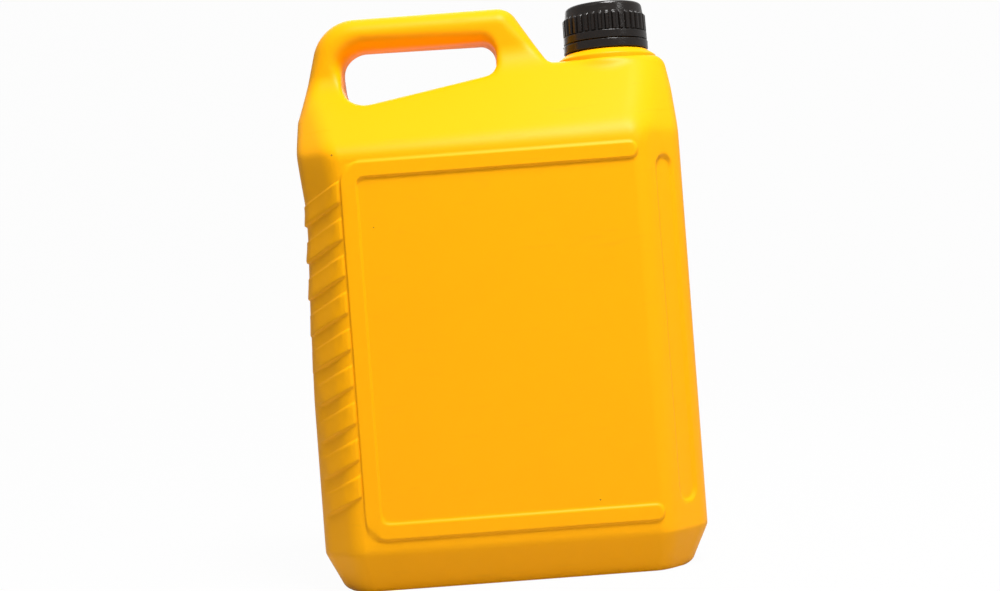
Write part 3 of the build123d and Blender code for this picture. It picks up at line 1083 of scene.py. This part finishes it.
def neck_thread(a, r, z):
    """The thread, on the neck's own wall alone."""
    on_wall = np.abs(r - NECK) < 0.2
    return on_wall * thread(a, z, THREAD_BOTTOM, THREAD_TOP, phase=0.0, crest=1.0, half=1.3)


neck_profile = resampled(
    [(COLLAR, 251.5), (COLLAR, 259.9), (21.3, 262.9), (NECK, 263.6), (NECK, 265.2), (BEAD, 265.9),
     (BEAD, 266.7), (NECK, 267.6), (NECK, 284.7), (BORE, 284.7), (BORE, 256.4), (24.2, 255.9),
     (24.2, 251.5), (COLLAR, 251.5)],
    [0, 1.3, 1.2, 0.4, 0.4, 0.4, 0.4, 0.4, 0.5, 0.4, 1.0, 0.3, 0.2, 0], 0.45)
neck = turned("neck", neck_profile, neck_thread, 144)
neck.data.materials.append(YELLOW)
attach(neck, "jug")
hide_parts("jug_body")

# %% [markdown]
# ## Screw cap
# The cap has a ribbed grip of 36 teeth that start under a plain round head and end on
# a smooth band. Each tooth could be a copied block, but a moulded tooth grows softly out of
# the wall, so the radius rises and falls with the angle, and the rise fades at both ends.

# %% Turn the cap
CAP_BOTTOM = 268.3
CAP_TOP = 287.5
CAP_BAND = 21.8
CAP_GRIP = 21.75
CAP_CORE = 20.55
CAP_BORE = 18.8
TEETH = 36


def tooth_wave(a):
    """Flat-topped teeth: step_up of cos(TEETH * a), from 0 in a gap to 1 on a tooth."""
    return step_up((np.cos(TEETH * a) + 0.45) / 0.75)


def grip(a, r, z):
    """Teeth on the outside from z 272.4 to 281.9, and the thread inside."""
    on_wall = (r > 19.9) * step_up((z - 272.3) / 0.35) * step_up((282.2 - z) / 1.5)
    teeth = (CAP_GRIP - CAP_CORE) * tooth_wave(a) * on_wall
    in_bore = np.abs(r - CAP_BORE) < 0.1
    return teeth + in_bore * thread(a, z, 270.6, 284.0, phase=0.5, crest=-1.0, half=1.25)


cap_profile = resampled(
    [(CAP_BORE, CAP_BOTTOM), (CAP_BAND, CAP_BOTTOM), (CAP_BAND, 272.2), (CAP_CORE, 272.3),
     (CAP_CORE - 0.1, 282.3), (CAP_CORE - 0.7, CAP_TOP), (0.0, CAP_TOP), (0.0, 285.7),
     (CAP_BORE, 285.7), (CAP_BORE, CAP_BOTTOM)],
    [0, 0.4, 0.3, 0.2, 0.0, 2.0, 0, 0, 0.6, 0], 0.4)
cap = turned("cap", cap_profile, grip, 432)
cap.data.materials.append(BLACK)
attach(cap, "cap")
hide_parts("screw_cap")

# %% [markdown]
# ## Tamper ring
# The ring under the cap is held to it by small bridges that break on the first turn. Here they
# are broken, so the ring sits loose on the neck, under the bead. It could stay the plain
# band of the solids, but the stubs of the bridges and its turned-in lip catch the light.

# %% Turn the tamper ring
BRIDGES = 8
RING_OUTSIDE = 22.0
RING_INSIDE = 20.6
RING_TOP = 267.8


def stubs(a, r, z):
    """Stubs of broken bridges: a bump where cos(BRIDGES * a) is near 1, at the upper edge."""
    at_edge = (r > RING_OUTSIDE - 0.5) * step_up((z - RING_TOP + 0.9) / 0.3)
    return 0.3 * at_edge * step_up((np.cos(BRIDGES * a) - 0.93) / 0.03)


ring_profile = resampled(
    [(RING_INSIDE, RING_TOP), (RING_INSIDE, 265.0), (17.9, 264.6), (17.9, 263.9), (20.8, 263.5),
     (RING_OUTSIDE, 263.5), (RING_OUTSIDE, RING_TOP), (RING_INSIDE, RING_TOP)],
    [0, 0.5, 0.2, 0.2, 0.3, 0.5, 0.4, 0], 0.4)
ring = turned("tamper_band", ring_profile, stubs, 144)
ring.data.materials.append(BLACK)
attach(ring, "jug")
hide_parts("tamper_ring")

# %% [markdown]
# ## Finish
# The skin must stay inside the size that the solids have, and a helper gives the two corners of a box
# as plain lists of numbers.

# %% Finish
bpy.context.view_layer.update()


def plain(box):
    """The two corners of a box as plain lists of numbers."""
    return [[round(float(value), 6) for value in corner] for corner in box]
